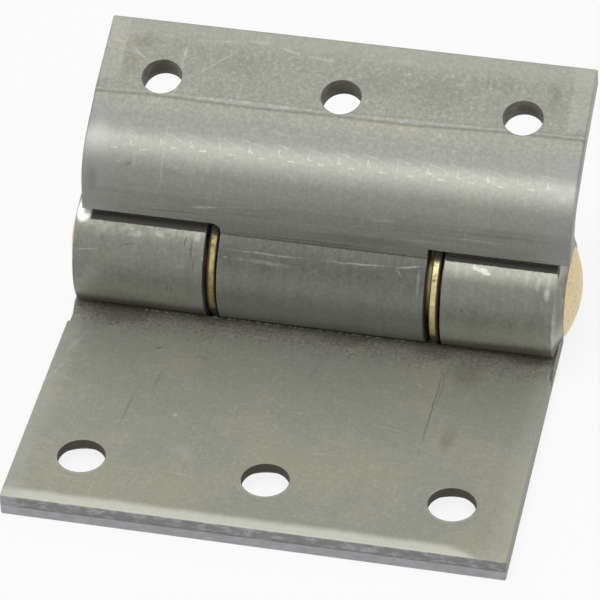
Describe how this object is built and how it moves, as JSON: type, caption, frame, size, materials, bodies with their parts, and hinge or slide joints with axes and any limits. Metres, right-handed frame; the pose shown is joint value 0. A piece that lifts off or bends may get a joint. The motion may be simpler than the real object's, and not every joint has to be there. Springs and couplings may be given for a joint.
{
  "type": "butterfly hinge",
  "caption": "Heavy steel hinge with a flat leaf and a cranked leaf, rolled knuckles, a thick fixed brass pin and brass washers between the knuckles.",
  "frame": {"origin": "centre of the front leaf's middle hole, on the leaf's upper face, the side where the knuckles stand up", "axes": "+X along the pin to the right as the picture shows it, +Y from the front leaf's free edge to the pin, +Z out of the front leaf's upper face"},
  "size_m": [0.1059, 0.0963, 0.0532],
  "materials": {
    "front_steel": "satin mill plate, scratched and slightly grimy near the knuckles",
    "rear_steel": "satin mill plate, cloudy, with bending scuffs and a few rust specks",
    "pin_brass": "dull turned brass with small dark specks",
    "washer_brass": "satin brass with dark speckles and bright rims"
  },
  "bodies": {
    "front_half": {"front_leaf": "front_steel", "hinge_pin": "pin_brass", "left_washer": "washer_brass", "right_washer": "washer_brass"},
    "rear_half": {"rear_leaf": "rear_steel"}
  },
  "joints": [
    {"name": "leaf_swing", "type": "hinge", "parent": "front_half", "child": "rear_half", "pos_m": [0, 0.0577, 0.00905], "axis": [1, 0, 0], "range_deg": [-200, 90]}
  ]
}
